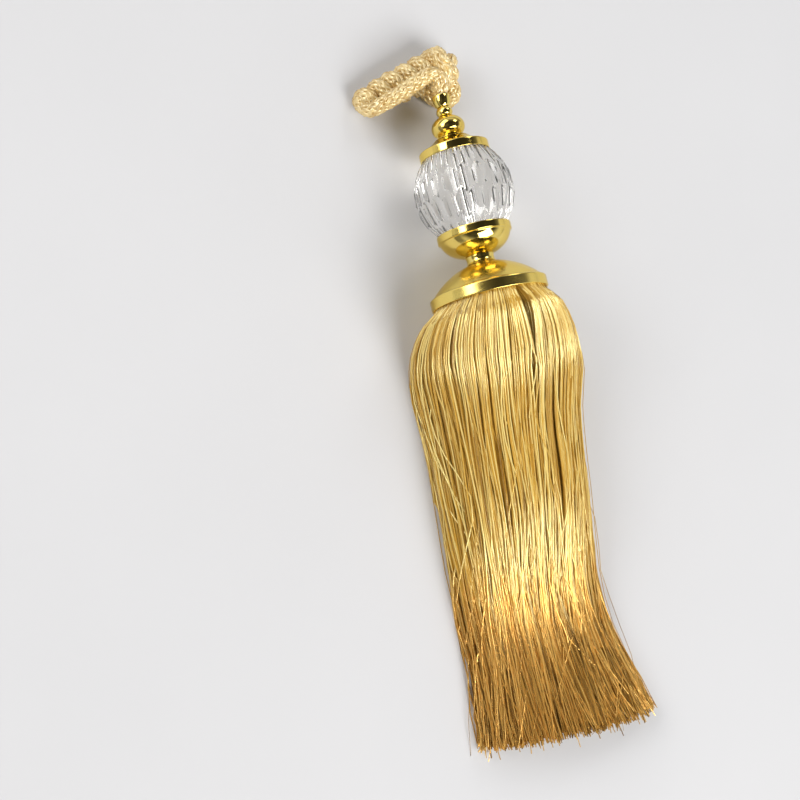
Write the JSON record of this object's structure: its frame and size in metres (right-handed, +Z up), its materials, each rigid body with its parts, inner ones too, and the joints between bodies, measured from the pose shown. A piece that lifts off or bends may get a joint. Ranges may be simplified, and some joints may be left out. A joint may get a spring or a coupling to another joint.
{
  "type": "curtain tieback tassel",
  "caption": "Curtain tieback tassel lying on its back: wound tie rope, gilt finial, fluted crystal ball, gilt bell and a long satin yarn fringe.",
  "frame": {"origin": "middle of the whole tassel's footprint, on the surface that it lies on", "axes": "+Z up; +Y along the tassel toward the tie rope, -Y toward the fringe's cut end; +X across it"},
  "size_m": [0.0928, 0.3472, 0.0572],
  "materials": {
    "gold": "polished gilt plating",
    "crystal": "clear, fluted",
    "yarn": "satin rayon yarn",
    "rope": "braided metallic cord"
  },
  "bodies": {
    "root": {"bell": "gold", "collar": "gold", "cup": "gold", "rod": "gold", "top_cap": "gold", "finial_ball": "gold", "finial_bead": "gold", "rope_socket": "gold", "crystal": "crystal", "fringe": "yarn", "hank": "rope"}
  },
  "joints": []
}
